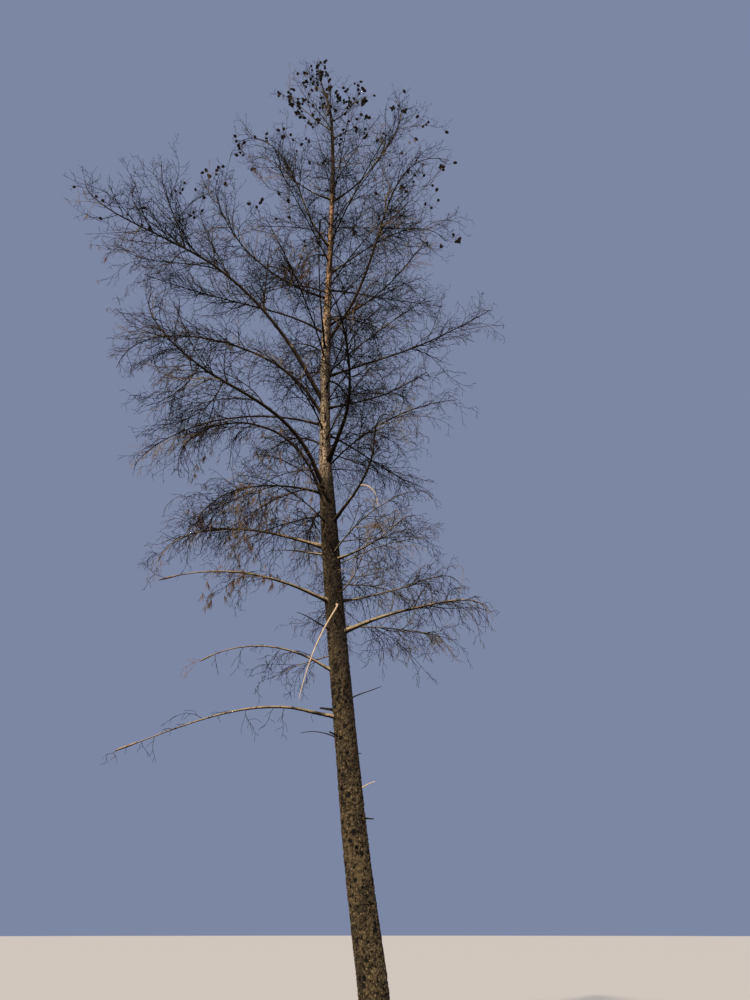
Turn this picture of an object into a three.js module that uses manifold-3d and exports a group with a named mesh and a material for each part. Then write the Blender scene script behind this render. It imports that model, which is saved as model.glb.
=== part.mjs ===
// A tall pine that a fire has killed: one slim leaning trunk, bare limbs that leave it singly and curve
// up or out, and a mass of fine twigs round the outer part of most limbs. The needles have gone.
// Millimetres, +Z up. The origin is the middle of the flat cut at ground level, and +X is the right
// of the tree as it is mostly seen, from -Y.

import * as THREE from "three";
import { mergeVertices } from "three/addons/utils/BufferGeometryUtils.js";
import Module from "manifold-3d";

const wasm = await Module();
wasm.setup();

const gap = 0.4; // air left between neighbouring solids
const bark = new THREE.Color("#77685b");
const limbWood = new THREE.Color("#5d5046");
const twigWood = new THREE.Color("#7d6d60");

// The trunk's axis and thickness at heights that a tape would be held to
const trunkStations = [
  { height: 0, x: 0, y: 0, diameter: 430 },
  { height: 300, x: -35, y: 5, diameter: 342 },
  { height: 1000, x: -108, y: 15, diameter: 315 },
  { height: 2240, x: -287, y: 30, diameter: 285 },
  { height: 3500, x: -432, y: 38, diameter: 254 },
  { height: 5160, x: -606, y: 38, diameter: 234 },
  { height: 6230, x: -700, y: 28, diameter: 222 },
  { height: 6880, x: -755, y: 20, diameter: 190 },
  { height: 7500, x: -790, y: 12, diameter: 154 },
  { height: 9300, x: -830, y: -10, diameter: 130 },
  { height: 10500, x: -822, y: -20, diameter: 93 },
  { height: 12400, x: -820, y: 0, diameter: 80 },
  { height: 13700, x: -850, y: 20, diameter: 60 },
  { height: 14700, x: -920, y: 10, diameter: 44 },
  { height: 15560, x: -1120, y: 0, diameter: 26 },
  { height: 16200, x: -1210, y: 0, diameter: 14 },
];
const trunkSides = 14;
const trunkRings = 36;
const flareHeight = 260; // the foot's ribs fade out over this height
const flareRibs = 5;
const flareDepth = 0.1;

const boughSides = 6;
const boughRings = 8;
const boughSteps = 24; // steps along a limb's curve
const tipDiameter = 9;
const taperBend = 0.85; // below 1 a limb thins fastest near its foot
const pointLength = 2; // a limb's end is drawn out to a point this many times as long as it is thick there
const collarSwell = 0.7; // a limb is this much thicker where it leaves the trunk
const collarLength = 110;
const boughEntry = 90; // how far a limb runs on inside its mass of twigs
const massSides = 8;
const massRings = 7;
const massOverrun = 60; // how far a mass goes past the limb's tip
const massLumps = { share: 0.13, round: 3, along: 9 }; // how deep, and how many round and along a mass

// Every limb: the height where its axis leaves the trunk's, its headings (0 is +X, 90 is +Y) and how
// steeply it rises, both at even distances from its foot to its tip, its length and its thickness.
// Where it carries twigs, "from" is the part of its length that is bare, and the mass reaches "side"
// to each side of it, "above" and "below".
const boughs = [
  { name: "left_1", height: 3640, heading: [190, 178], rise: [30, -13, -19], length: 2650, diameter: 42 },
  { name: "left_2", height: 4190, heading: [196, 186], rise: [37, 5, -34], length: 1750, diameter: 34 },
  { name: "left_3", height: 5100, heading: [210, 200], rise: [20, 0, -27], length: 2200, diameter: 50 },
  { name: "left_4", height: 5870, heading: [165, 170], rise: [22, 7, -54], length: 2800, diameter: 52,
    twigs: { from: 0.42, side: 400, above: 250, below: 380 } },
  { name: "left_5", height: 6660, heading: [214, 200], rise: [-1, -24, -72], length: 2200, diameter: 34,
    twigs: { from: 0.4, side: 340, above: 200, below: 360 } },
  { name: "left_6", height: 6302, heading: [240, 185, 168], rise: [58, 44, -18, -72], length: 3200,
    diameter: 50, twigs: { from: 0.49, side: 400, above: 280, below: 330 } },
  { name: "left_7", height: 6275, heading: [250, 204, 190], rise: [63, 41, 20, 46, 78], length: 4310,
    diameter: 72, twigs: { from: 0.53, side: 430, above: 420, below: 380 } },
  { name: "left_8", height: 7750, heading: [163, 172], rise: [28, -3, -51], length: 3300, diameter: 36,
    twigs: { from: 0.42, side: 400, above: 230, below: 400 } },
  { name: "left_9", height: 7647, heading: [186, 180, 174], rise: [81, 46, 21, -5, -58], length: 4200,
    diameter: 52, twigs: { from: 0.455, side: 430, above: 300, below: 430 } },
  { name: "left_10", height: 7864, heading: [200, 195, 189], rise: [79, 54, 36, 21, 79], length: 5800,
    diameter: 70, twigs: { from: 0.47, side: 470, above: 420, below: 440 } },
  { name: "left_11", height: 9380, heading: [176, 190], rise: [45, 12, 30], length: 3250, diameter: 34,
    twigs: { from: 0.33, side: 400, above: 380, below: 330 } },
  { name: "left_12", height: 10100, heading: [192, 196], rise: [8, 52, 85], length: 3300, diameter: 34,
    twigs: { from: 0.36, side: 380, above: 380, below: 380 } },
  { name: "left_13", height: 11200, heading: [210, 192], rise: [35, 66, -36], length: 2900, diameter: 36,
    twigs: { from: 0.34, side: 380, above: 330, below: 350 } },
  { name: "left_14", height: 12330, heading: [166, 160], rise: [32, 52, 22], length: 2500, diameter: 30,
    twigs: { from: 0.3, side: 380, above: 330, below: 300 } },
  { name: "right_1", height: 4720, heading: [345, 368], rise: [21, 10, -14], length: 2050, diameter: 58,
    twigs: { from: 0.45, side: 380, above: 240, below: 300 } },
  { name: "right_2", height: 5150, heading: [30, 24], rise: [15, 23, 8], length: 2100, diameter: 30,
    twigs: { from: 0.42, side: 330, above: 230, below: 260 } },
  { name: "right_3", height: 5720, heading: [328, 340], rise: [-6, 22, 21], length: 1350, diameter: 32,
    twigs: { from: 0.45, side: 280, above: 220, below: 240 } },
  { name: "right_4", height: 6133, heading: [312, 320, 330], rise: [53, 42, 77, 26], length: 1930,
    diameter: 50, twigs: { from: 0.5, side: 300, above: 280, below: 280 } },
  { name: "right_5", height: 7074, heading: [304, 270, 245], rise: [53, 10, 18, 26], length: 2960,
    diameter: 64, twigs: { from: 0.48, side: 380, above: 300, below: 300 } },
  { name: "right_6", height: 7620, heading: [55, 35], rise: [16, -6, 0], length: 2100, diameter: 32,
    twigs: { from: 0.42, side: 350, above: 240, below: 340 } },
  { name: "right_7", height: 8040, heading: [330, 322], rise: [-7, -6, 17], length: 1850, diameter: 32,
    twigs: { from: 0.42, side: 320, above: 260, below: 280 } },
  { name: "right_8", height: 8590, heading: [345, 338], rise: [13, 10, 27], length: 2700, diameter: 36,
    twigs: { from: 0.42, side: 400, above: 320, below: 330 } },
  { name: "right_9", height: 9250, heading: [342, 376], rise: [50, 76, 26], length: 4900, diameter: 52,
    twigs: { from: 0.42, side: 430, above: 400, below: 430 } },
  { name: "right_10", height: 9560, heading: [326, 348], rise: [-5, 36, 56], length: 2200, diameter: 30,
    twigs: { from: 0.45, side: 320, above: 300, below: 300 } },
  { name: "right_11", height: 10260, heading: [50, 35], rise: [36, 24, 27], length: 3150, diameter: 30,
    twigs: { from: 0.34, side: 400, above: 300, below: 330 } },
  { name: "right_12", height: 10610, heading: [12, 25], rise: [47, 42, -8], length: 2850, diameter: 30,
    twigs: { from: 0.32, side: 380, above: 330, below: 340 } },
  { name: "right_13", height: 12280, heading: [348, 360], rise: [28, 72, 82], length: 2950, diameter: 32,
    twigs: { from: 0.32, side: 360, above: 340, below: 560 } },
  { name: "back_1", height: 6400, heading: [108, 92], rise: [32, 8, -22], length: 2800, diameter: 44,
    twigs: { from: 0.4, side: 500, above: 320, below: 430 } },
  { name: "back_2", height: 8520, heading: [76, 92], rise: [40, 24, 30], length: 3000, diameter: 40,
    twigs: { from: 0.4, side: 500, above: 400, below: 400 } },
  { name: "back_3", height: 11000, heading: [120, 104], rise: [45, 40, 20], length: 2300, diameter: 34 },
  { name: "front_1", height: 9000, heading: [262, 276], rise: [48, 30, 38], length: 1900, diameter: 32 },
];

// Masses that stand on no limb of their own: the upright sprays on the longest limb, given by their
// foot, and the bushy top, which stands round the last two metres of the trunk.
const upperSpray = {
  x: -3030, y: -860, height: 11080,
  heading: [190, 190], rise: [86, 72, 78], length: 1560,
  twigs: { from: 0, side: 420, above: 500, below: 500 },
};
const topSpray = { foot: 13250, left: 860, right: 800, depth: 660, taper: 0.1 };

function trunkCurve() {
  return new THREE.CatmullRomCurve3(trunkStations.map((s) => new THREE.Vector3(s.x, s.y, s.height)));
}

function trunkDiameter(t) {
  const place = t * (trunkStations.length - 1);
  const low = Math.min(Math.floor(place), trunkStations.length - 2);
  return THREE.MathUtils.lerp(trunkStations[low].diameter, trunkStations[low + 1].diameter, place - low);
}

// The trunk curve's parameter at a height, found by halving
function trunkPlace(height) {
  const curve = trunkCurve();
  let low = 0;
  let high = 1;
  for (let i = 0; i < 20; i += 1) {
    const middle = (low + high) / 2;
    if (curve.getPoint(middle).z < height) {
      low = middle;
    } else {
      high = middle;
    }
  }
  return low;
}

// Value at t of the smooth curve through angles at even distances, in radians
function through(angles, t) {
  const last = angles.length - 1;
  let total = 0;
  angles.forEach((angle, i) => {
    let weight = 1;
    for (let other = 0; other <= last; other += 1) {
      if (other !== i) {
        weight *= (t * last - other) / (i - other);
      }
    }
    total += angle * weight;
  });
  return THREE.MathUtils.degToRad(total);
}

// A limb's centre line, walked in short steps from its foot
function limbCurve(limb, foot) {
  const points = [foot.clone()];
  const step = limb.length / boughSteps;
  for (let i = 0; i < boughSteps; i += 1) {
    const t = (i + 0.5) / boughSteps;
    const way = new THREE.Vector3(1, 0, 0);
    way.applyAxisAngle(new THREE.Vector3(0, -1, 0), through(limb.rise, t));
    way.applyAxisAngle(new THREE.Vector3(0, 0, 1), through(limb.heading, t));
    points.push(points[i].clone().addScaledVector(way, step));
  }
  return new THREE.CatmullRomCurve3(points);
}

// Thickness at part t of a limb's length, with the swelling where it leaves the trunk
function limbRadius(limb, t) {
  const swell = 1 + collarSwell * Math.exp(-(t * limb.length) / collarLength);
  return (THREE.MathUtils.lerp(limb.diameter, tipDiameter, t ** taperBend) / 2) * swell;
}

// Bends a shape that stands on its y axis along a centre line: section(x, z, t) gives the offsets to
// the right of the heading and upwards, and t runs from 0 to 1 along the shape.
function bend(geometry, curve, from, to, headingOf, section, lift) {
  const place = geometry.attributes.position;
  geometry.computeBoundingBox();
  const { min, max } = geometry.boundingBox;
  for (let i = 0; i < place.count; i += 1) {
    const t = (place.getY(i) - min.y) / (max.y - min.y);
    const along = THREE.MathUtils.lerp(from, to, t);
    const heading = headingOf(Math.min(along, 1));
    const right = new THREE.Vector3(Math.sin(heading), -Math.cos(heading), 0);
    const way = curve.getTangentAt(Math.min(along, 1));
    const over = new THREE.Vector3().crossVectors(right, way).normalize();
    const offset = section(place.getX(i), place.getZ(i), t);
    const point = curve.getPointAt(Math.min(along, 1));
    point.addScaledVector(right, offset.right).addScaledVector(over, offset.up);
    point.addScaledVector(way, lift(place.getX(i), place.getZ(i), t, along));
    place.setXYZ(i, point.x, point.y, point.z);
  }
  return geometry;
}

function limbGeometry(limb, curve, end, extra) {
  const shape = new THREE.CylinderGeometry(1, 1, 1, boughSides, boughRings);
  const section = (x, z, t) => {
    const radius = limbRadius(limb, t * end) + extra;
    return { right: x * radius, up: z * radius };
  };
  // the end is drawn out to a point, so that a limb never stops in a flat disc
  const lift = (x, z, t) => {
    const atTip = t === 1 && Math.hypot(x, z) < 0.5;
    return atTip ? pointLength * limbRadius(limb, end) + extra : 0;
  };
  return bend(shape, curve, 0, end, (t) => through(limb.heading, t), section, lift);
}

// A closed lumpy body round a centre line, thin at both ends. The seed moves its lumps.
function massGeometry(limb, curve, extra, seed) {
  const { from, side, above, below } = limb.twigs;
  const shape = new THREE.SphereGeometry(1, massSides, massRings);
  const section = (x, z, t) => {
    const turn = Math.atan2(z, x);
    const waves = Math.sin(massLumps.round * turn + seed) + Math.sin(massLumps.along * t + seed);
    const lump = 1 + massLumps.share * waves;
    const height = z > 0 ? above : below;
    return { right: x * (side * lump + extra), up: z * (height * lump + extra) };
  };
  const lift = (x, z, t) => (t === 1 ? massOverrun + extra : t === 0 ? -extra : 0);
  return bend(shape, curve, from, 1, (t) => through(limb.heading, t), section, lift);
}

function trunkGeometry(extra) {
  const shape = new THREE.CylinderGeometry(1, 1, 1, trunkSides, trunkRings);
  const curve = trunkCurve();
  const place = shape.attributes.position;
  for (let i = 0; i < place.count; i += 1) {
    const t = place.getY(i) + 0.5;
    const centre = curve.getPoint(t);
    const turn = Math.atan2(place.getZ(i), place.getX(i));
    const flare = 1 + flareDepth * Math.exp(-centre.z / flareHeight) * Math.cos(flareRibs * turn);
    const radius = (trunkDiameter(t) / 2) * flare + extra;
    // the ground cuts the foot level, and a grown copy goes a little below it
    const floor = t === 0 ? -extra : 0;
    place.setXYZ(i, centre.x + place.getX(i) * radius, centre.y - place.getZ(i) * radius, centre.z + floor);
  }
  return shape;
}

function topGeometry(extra) {
  const shape = new THREE.SphereGeometry(1, massSides + 2, massRings);
  const curve = trunkCurve();
  const place = shape.attributes.position;
  const foot = trunkPlace(topSpray.foot);
  for (let i = 0; i < place.count; i += 1) {
    const t = (place.getY(i) + 1) / 2;
    const centre = curve.getPoint(THREE.MathUtils.lerp(foot, 1, t));
    const turn = Math.atan2(place.getZ(i), place.getX(i));
    const waves = Math.sin(massLumps.round * turn) + Math.sin(massLumps.along * t);
    const size = (1 + massLumps.share * waves) * (1 - topSpray.taper * t);
    const reach = place.getX(i) < 0 ? topSpray.left : topSpray.right;
    const x = centre.x + place.getX(i) * (reach * size + extra);
    const y = centre.y - place.getZ(i) * (topSpray.depth * size + extra);
    place.setXYZ(i, x, y, centre.z);
  }
  return shape;
}

function toSolid(geometry) {
  geometry.deleteAttribute("normal");
  geometry.deleteAttribute("uv");
  const merged = mergeVertices(geometry, 0.001);
  const vertProperties = Float32Array.from(merged.attributes.position.array);
  const triVerts = Uint32Array.from(merged.index.array);
  return new wasm.Manifold(new wasm.Mesh({ numProp: 3, vertProperties, triVerts }));
}

function boxesMeet(a, b) {
  const one = a.boundingBox();
  const two = b.boundingBox();
  return [0, 1, 2].every((i) => one.min[i] < two.max[i] && two.min[i] < one.max[i]);
}

// What is left of a solid after its neighbours are cut from it, as the one largest body
function carve(solid, neighbours) {
  let left = solid;
  for (const neighbour of neighbours) {
    if (boxesMeet(left, neighbour)) {
      left = left.subtract(neighbour);
    }
  }
  return left.decompose().reduce((best, body) => (body.volume() > best.volume() ? body : best));
}

function toMesh(name, solid, color, roughness) {
  const { vertProperties, triVerts } = solid.getMesh();
  const geometry = new THREE.BufferGeometry();
  geometry.setAttribute("position", new THREE.BufferAttribute(Float32Array.from(vertProperties), 3));
  geometry.setIndex(new THREE.BufferAttribute(Uint32Array.from(triVerts), 1));
  const material = new THREE.MeshStandardMaterial({ color, roughness, metalness: 0, flatShading: true });
  const mesh = new THREE.Mesh(geometry, material);
  mesh.name = name;
  return mesh;
}

const tree = new THREE.Group();
tree.add(toMesh("trunk", toSolid(trunkGeometry(0)), bark, 0.95));
const trunkGrown = toSolid(trunkGeometry(gap));

// Limbs first: each is cut by the trunk and by the limbs before it
const limbsGrown = [];
const masses = [];
boughs.forEach((bough, i) => {
  const foot = trunkCurve().getPoint(trunkPlace(bough.height));
  const curve = limbCurve(bough, foot);
  const end = bough.twigs ? bough.twigs.from + boughEntry / bough.length : 1;
  const solid = carve(toSolid(limbGeometry(bough, curve, end, 0)), [trunkGrown, ...limbsGrown]);
  tree.add(toMesh(`bough_${bough.name}`, solid, limbWood, 0.9));
  limbsGrown.push(toSolid(limbGeometry(bough, curve, end, gap)));
  if (bough.twigs) {
    const make = (extra) => massGeometry(bough, curve, extra, i);
    masses.push({ name: `twigs_${bough.name}`, make });
  }
});

const upperFoot = new THREE.Vector3(upperSpray.x, upperSpray.y, upperSpray.height);
const upperCurve = limbCurve(upperSpray, upperFoot);
const makeUpper = (extra) => massGeometry(upperSpray, upperCurve, extra, boughs.length);
masses.push({ name: "twigs_left_upper", make: makeUpper });
masses.push({ name: "twigs_top", make: topGeometry });

// Then the masses of twigs, each cut round the trunk, the limbs and the masses before it
const massesGrown = [];
for (const mass of masses) {
  const solid = carve(toSolid(mass.make(0)), [trunkGrown, ...limbsGrown, ...massesGrown]);
  tree.add(toMesh(mass.name, solid, twigWood, 1));
  massesGrown.push(toSolid(mass.make(gap)));
}

export default tree;
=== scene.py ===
import math
import random
import time
import bpy
import numpy as np
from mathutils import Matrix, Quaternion, Vector
from mathutils.bvhtree import BVHTree
from mathutils.kdtree import KDTree


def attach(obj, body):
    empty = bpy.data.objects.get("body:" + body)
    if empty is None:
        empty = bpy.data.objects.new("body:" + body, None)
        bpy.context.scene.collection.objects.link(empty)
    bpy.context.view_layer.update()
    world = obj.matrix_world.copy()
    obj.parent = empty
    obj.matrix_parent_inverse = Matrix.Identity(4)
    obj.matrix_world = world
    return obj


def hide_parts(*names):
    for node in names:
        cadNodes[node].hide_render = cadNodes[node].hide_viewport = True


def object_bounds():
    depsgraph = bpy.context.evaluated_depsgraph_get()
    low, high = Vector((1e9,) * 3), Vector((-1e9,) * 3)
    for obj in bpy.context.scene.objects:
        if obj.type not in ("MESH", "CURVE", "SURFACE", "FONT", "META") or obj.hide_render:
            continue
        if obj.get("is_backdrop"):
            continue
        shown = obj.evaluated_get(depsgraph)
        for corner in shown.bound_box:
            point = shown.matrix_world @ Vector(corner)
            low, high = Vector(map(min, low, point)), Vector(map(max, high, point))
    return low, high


# A pine that a fire has killed, seen from eye height under it: charred bark below, orange bark above,
# bare limbs, a lacework of dry twigs, old cones in the top and a few brown needles that hang on.

startTime = time.time()
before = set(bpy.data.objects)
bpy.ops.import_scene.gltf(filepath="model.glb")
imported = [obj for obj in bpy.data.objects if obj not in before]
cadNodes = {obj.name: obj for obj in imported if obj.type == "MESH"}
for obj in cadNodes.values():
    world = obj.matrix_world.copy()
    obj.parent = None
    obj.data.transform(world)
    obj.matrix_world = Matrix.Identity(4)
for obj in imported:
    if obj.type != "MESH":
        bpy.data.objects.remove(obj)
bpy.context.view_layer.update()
up = Vector((0, 0, 1))
roundTurn = 6.28  # a whole turn in radians, for a draw


def report(stage):
    print(f"[{time.time() - startTime:6.1f} s] {stage}")


def linear(hexColour):  # sRGB hex to the linear colour that a socket takes
    parts = [int(hexColour[i:i + 2], 16) / 255 for i in (1, 3, 5)]
    return [p / 12.92 if p <= 0.04045 else ((p + 0.055) / 1.055) ** 2.4 for p in parts] + [1]


def put(tree, kind, sockets=None, out=0, **settings):  # adds a node, sets it, links it, gives an output
    node = tree.nodes.new(kind)
    for key, value in settings.items():
        setattr(node, key, value)
    for key, value in (sockets or {}).items():
        if isinstance(value, bpy.types.NodeSocket):
            tree.links.new(value, node.inputs[key])
        else:
            node.inputs[key].default_value = value
    return node.outputs if out is None else node.outputs[out]


report("frame loaded")


# Materials: patterns, and coats of colour laid over each other

def newMaterial(name):
    material = bpy.data.materials.new(name)
    material.use_nodes = True
    material.node_tree.nodes.clear()
    return material, material.node_tree


def finishMaterial(tree, colour, roughness, bump=None, strength=0.5, distance=0.003, shine=0.2):
    sockets = {"Base Color": colour, "Roughness": roughness, "Specular IOR Level": shine}
    if bump is not None:
        relief = {"Strength": strength, "Distance": distance, "Height": bump}
        sockets["Normal"] = put(tree, "ShaderNodeBump", relief)
    shader = put(tree, "ShaderNodeBsdfPrincipled", sockets)
    put(tree, "ShaderNodeOutputMaterial", {"Surface": shader}, out=None)


def blotches(tree, perMetre, detail, roughness=0.6, squeeze=1.0):  # a squeeze below 1 makes them tall
    place = put(tree, "ShaderNodeTexCoord", out="Object")
    place = put(tree, "ShaderNodeMapping", {"Vector": place, "Scale": (1, 1, squeeze)})
    sockets = {"Vector": place, "Scale": perMetre, "Detail": detail, "Roughness": roughness}
    return put(tree, "ShaderNodeTexNoise", sockets, "Fac")


def shareOf(tree, *steps):  # the product of smooth steps: each a value, two limits and perhaps what they give
    share = None
    for step in steps:
        if isinstance(step, tuple):
            sockets = dict(zip(("Value", "From Min", "From Max", "To Min", "To Max"), step))
            step = put(tree, "ShaderNodeMapRange", sockets, interpolation_type="SMOOTHSTEP")
        if share is not None:
            step = put(tree, "ShaderNodeMath", {0: share, 1: step}, operation="MULTIPLY")
        share = step
    return share


def coat(tree, under, over, *steps):  # a colour laid over another as far as every step allows
    under, over = [linear(c) if isinstance(c, str) else c for c in (under, over)]
    return put(tree, "ShaderNodeMix", {0: shareOf(tree, *steps), 6: under, 7: over}, 2, data_type="RGBA")


# Bark: the same plates, pits and knots shape the trunk's mesh and darken its material
barkPattern = {
    "platesPerMetre": 32,  # flakes about 30 mm wide
    "plateSqueeze": 0.6,  # and over half as tall again
    "grooveWidth": 0.14,  # as a share of a flake
    "pitsPerMetre": (13, 27),  # black pits in two sizes, about 75 and 35 mm apart
    "pitSqueeze": 0.8,
    "pitWidth": (0.24, 0.34),  # a pit is black out to the first share of that, and ends at the second
    "wobble": 0.02,  # metres that every outline wanders
    "wobblePerMetre": 30,
    "rubblePerMetre": 23,  # lumps about 45 mm wide
    "rubble": (6, 0.68),  # their detail and roughness
    "lumpsPerMetre": 7,  # swellings about 140 mm wide
}


def barkCells(tree, position, feature, perMetre, squeeze):  # distances in cells whose outlines wander
    sockets = {"Vector": position, "Scale": barkPattern["wobblePerMetre"], "Detail": 2.0}
    shift = put(tree, "ShaderNodeTexNoise", sockets, "Color")
    shift = put(tree, "ShaderNodeVectorMath", {0: shift, 1: (0.5, 0.5, 0.5)}, operation="SUBTRACT")
    sockets = {0: shift, 1: (2 * barkPattern["wobble"],) * 3, 2: position}
    place = put(tree, "ShaderNodeVectorMath", sockets, operation="MULTIPLY_ADD")
    place = put(tree, "ShaderNodeVectorMath", {0: place, 1: (1, 1, squeeze)}, operation="MULTIPLY")
    sockets = {"Vector": place, "Scale": perMetre}
    return put(tree, "ShaderNodeTexVoronoi", sockets, "Distance", feature=feature)


def barkGrooves(tree, position):  # 1 in the grooves between flakes, 0 on them
    size = barkPattern["platesPerMetre"], barkPattern["plateSqueeze"]
    edge = barkCells(tree, position, "DISTANCE_TO_EDGE", *size)
    return shareOf(tree, (edge, 0.0, barkPattern["grooveWidth"], 1.0, 0.0))


def barkPits(tree, position):  # 1 in the pits
    pits = 0.0
    for perMetre in barkPattern["pitsPerMetre"]:
        middle = barkCells(tree, position, "F1", perMetre, barkPattern["pitSqueeze"])
        pit = shareOf(tree, (middle, *barkPattern["pitWidth"], 1.0, 0.0))
        pits = put(tree, "ShaderNodeMath", {0: pit, 1: pits}, operation="MAXIMUM")
    return pits


def charredPineBark():  # burnt rubble with flecks of ash and black pits, and orange flakes above the fire
    look = {
        "char": "#0b0805", "scorched": "#2d2415", "ash": "#5f5039", "fleck": "#a38f68", "soot": "#4a3c2a",
        "gap": "#30251c", "shade": "#2a2018", "tan": "#c7b091", "orange": "#cba077", "top": "#3d3229",
        # Patterns: blotches to the metre, detail, roughness and squeeze
        "patches": (7, 3, 0.6, 0.3),  # about 140 mm wide
        "flecks": (75, 3, 0.6, 0.5),  # flecks of ash, about 13 mm
        "flakes": (60, 5, 0.7, 0.5),  # flakes of the upper bark, about 17 mm
        "strips": (17, 3, 0.6, 0.35),  # dark strips between them, about 60 mm
        "grain": (150, 4, 0.7, 0.5),  # grit, about 7 mm
        # Places: heights in metres, and how far to the right a face looks, from -1 to 1
        "charredTo": (6.2, 7.6),  # the charring thins out between these heights
        "ragged": 4.0,  # metres that its edge rises and falls with the patches
        "burntAndShadedFrom": (4.2, 5.2), "burntAndShadedTo": (6.7, 7.3, 1.0, 0.0),  # burnt black between, with painted shadow of the limbs above, but for its lit left
        "burntAndShadedSide": (-0.8, -0.35, 0.0, 0.88),  # bare left of the first, black right of the second
        "shadedFrom": (1.8, 4.5), "shadedSide": (-0.35, 0.6, 0.0, 0.8),  # painted shade on the right side, away from the sun, above this
        "stripsFrom": (8.5, 10.5, 0.25, 1.0), "orangeFrom": (8.8, 10.5), "greyFrom": (11.6, 12.9),
        # Shares: the values between which a pattern turns, and what it gives at them if not 0 and 1
        "ashy": (0.40, 0.60), "sooted": (0.5, 0.66, 0.0, 0.6), "flecked": (0.59, 0.67, 0.0, 0.78),
        "hollows": (0.43, 0.36, 0.0, 0.75), "grooves": 0.6, "flaked": (0.45, 0.53), "crusted": (0.52, 0.61),
        "striped": (0.5, 0.62, 0.0, 0.85),
        "roughness": 0.92, "relief": (0.8, 0.005),  # strength, and depth in metres
    }
    material, tree = newMaterial("charred_pine_bark")
    place = put(tree, "ShaderNodeTexCoord", out="Object")
    height = put(tree, "ShaderNodeSeparateXYZ", {0: place}, 2)
    facing = put(tree, "ShaderNodeTexCoord", out="Normal")
    rightward = put(tree, "ShaderNodeSeparateXYZ", {0: facing}, 0)
    knots = put(tree, "ShaderNodeAttribute", out="Fac", attribute_name="knot")
    rubble = blotches(tree, barkPattern["rubblePerMetre"], *barkPattern["rubble"])
    names = ("patches", "flecks", "flakes", "strips", "grain")
    patches, flecks, flakes, strips, grain = [blotches(tree, *look[name]) for name in names]

    low = coat(tree, look["scorched"], look["ash"], (rubble, *look["ashy"]))
    low = coat(tree, low, look["char"], (patches, *look["sooted"]))
    low = coat(tree, low, look["fleck"], (flecks, *look["flecked"]))
    # black in the hollows that the same rubble pushes into the mesh: charred bark, and painted shade in them
    low = coat(tree, low, look["char"], (rubble, *look["hollows"]))
    low = coat(tree, low, look["char"], barkGrooves(tree, place), look["grooves"])
    low = coat(tree, low, look["char"], barkPits(tree, place))

    high = coat(tree, look["tan"], look["orange"], (height, *look["orangeFrom"]))
    high = coat(tree, high, look["top"], (height, *look["greyFrom"]))
    high = coat(tree, look["gap"], high, (flakes, *look["flaked"]))
    high = coat(tree, high, look["shade"], (strips, *look["striped"]), (height, *look["stripsFrom"]))

    edge = put(tree, "ShaderNodeMath", {0: patches, 1: look["ragged"], 2: height}, operation="MULTIPLY_ADD")
    above = (edge, *[limit + look["ragged"] / 2 for limit in look["charredTo"]])
    colour = coat(tree, low, high, above)
    # painted shade: the right side, turned away from the sun, is darkened
    colour = coat(tree, colour, look["shade"], (rightward, *look["shadedSide"]), (height, *look["shadedFrom"]))
    crust = coat(tree, look["char"], look["soot"], (flakes, *look["crusted"]))
    # a black band: partly charred bark, partly painted shadow of the limbs above it, left bare at its lit
    # left edge
    burntAndShaded = [(height, *look["burntAndShadedFrom"]), (height, *look["burntAndShadedTo"]), (rightward, *look["burntAndShadedSide"])]
    colour = coat(tree, colour, crust, *burntAndShaded)
    colour = coat(tree, colour, look["char"], knots)
    finishMaterial(tree, colour, look["roughness"], grain, *look["relief"])
    return material


def scorchedLimbBark():  # grey-tan, with painted shade black underneath, darkest midway up
    look = {
        "pale": "#8f826a", "tan": "#ad9673", "brown": "#32261b", "char": "#0a0705",
        "mottle": (30, 4, 0.65),  # blotches about 35 mm wide
        "patches": (3.5, 2),  # and about 300 mm wide
        "specks": ((60, 2), 0.57, 0.63, 0.0, 0.85),  # about 17 mm
        "scars": ((16, 2), 0.64, 0.70, 0.0, 0.85),  # scars of side branches, about 60 mm
        "darkFrom": (5.95, 6.15), "darkTo": (9.5, 12.0, 1.0, 0.35),  # heights of a limb's foot in metres
        "darker": 0.3,  # how much more of a limb is brown there
        "tanned": (0.35, 0.65), "browned": (0.5, 0.66, 0.0, 0.97),  # shares, as on the trunk
        "shadedUnderside": (0.0, -0.55, 0.0, 0.97),  # painted shade underneath: how far up a face looks, from 1 to -1
        "roughness": 0.85, "relief": (0.5, 0.003), "shine": 0.08,
    }
    material, tree = newMaterial("scorched_limb_bark")
    facing = put(tree, "ShaderNodeTexCoord", out="Normal")
    upward = put(tree, "ShaderNodeSeparateXYZ", {0: facing}, 2)
    foot = put(tree, "ShaderNodeAttribute", out="Fac", attribute_name="foot")
    mottle = blotches(tree, *look["mottle"])
    patches = blotches(tree, *look["patches"])
    midway = shareOf(tree, (foot, *look["darkFrom"]), (foot, *look["darkTo"]))
    sockets = {0: midway, 1: look["darker"], 2: patches}
    browned = put(tree, "ShaderNodeMath", sockets, operation="MULTIPLY_ADD")
    colour = coat(tree, look["pale"], look["tan"], (mottle, *look["tanned"]))
    colour = coat(tree, colour, look["brown"], (browned, *look["browned"]))
    # painted shade: faces that look down turn black
    colour = coat(tree, colour, look["char"], (upward, *look["shadedUnderside"]))
    for name in ("specks", "scars"):
        pattern, *limits = look[name]
        colour = coat(tree, colour, look["char"], (blotches(tree, *pattern), *limits))
    finishMaterial(tree, colour, look["roughness"], mottle, *look["relief"], look["shine"])
    return material


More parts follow.
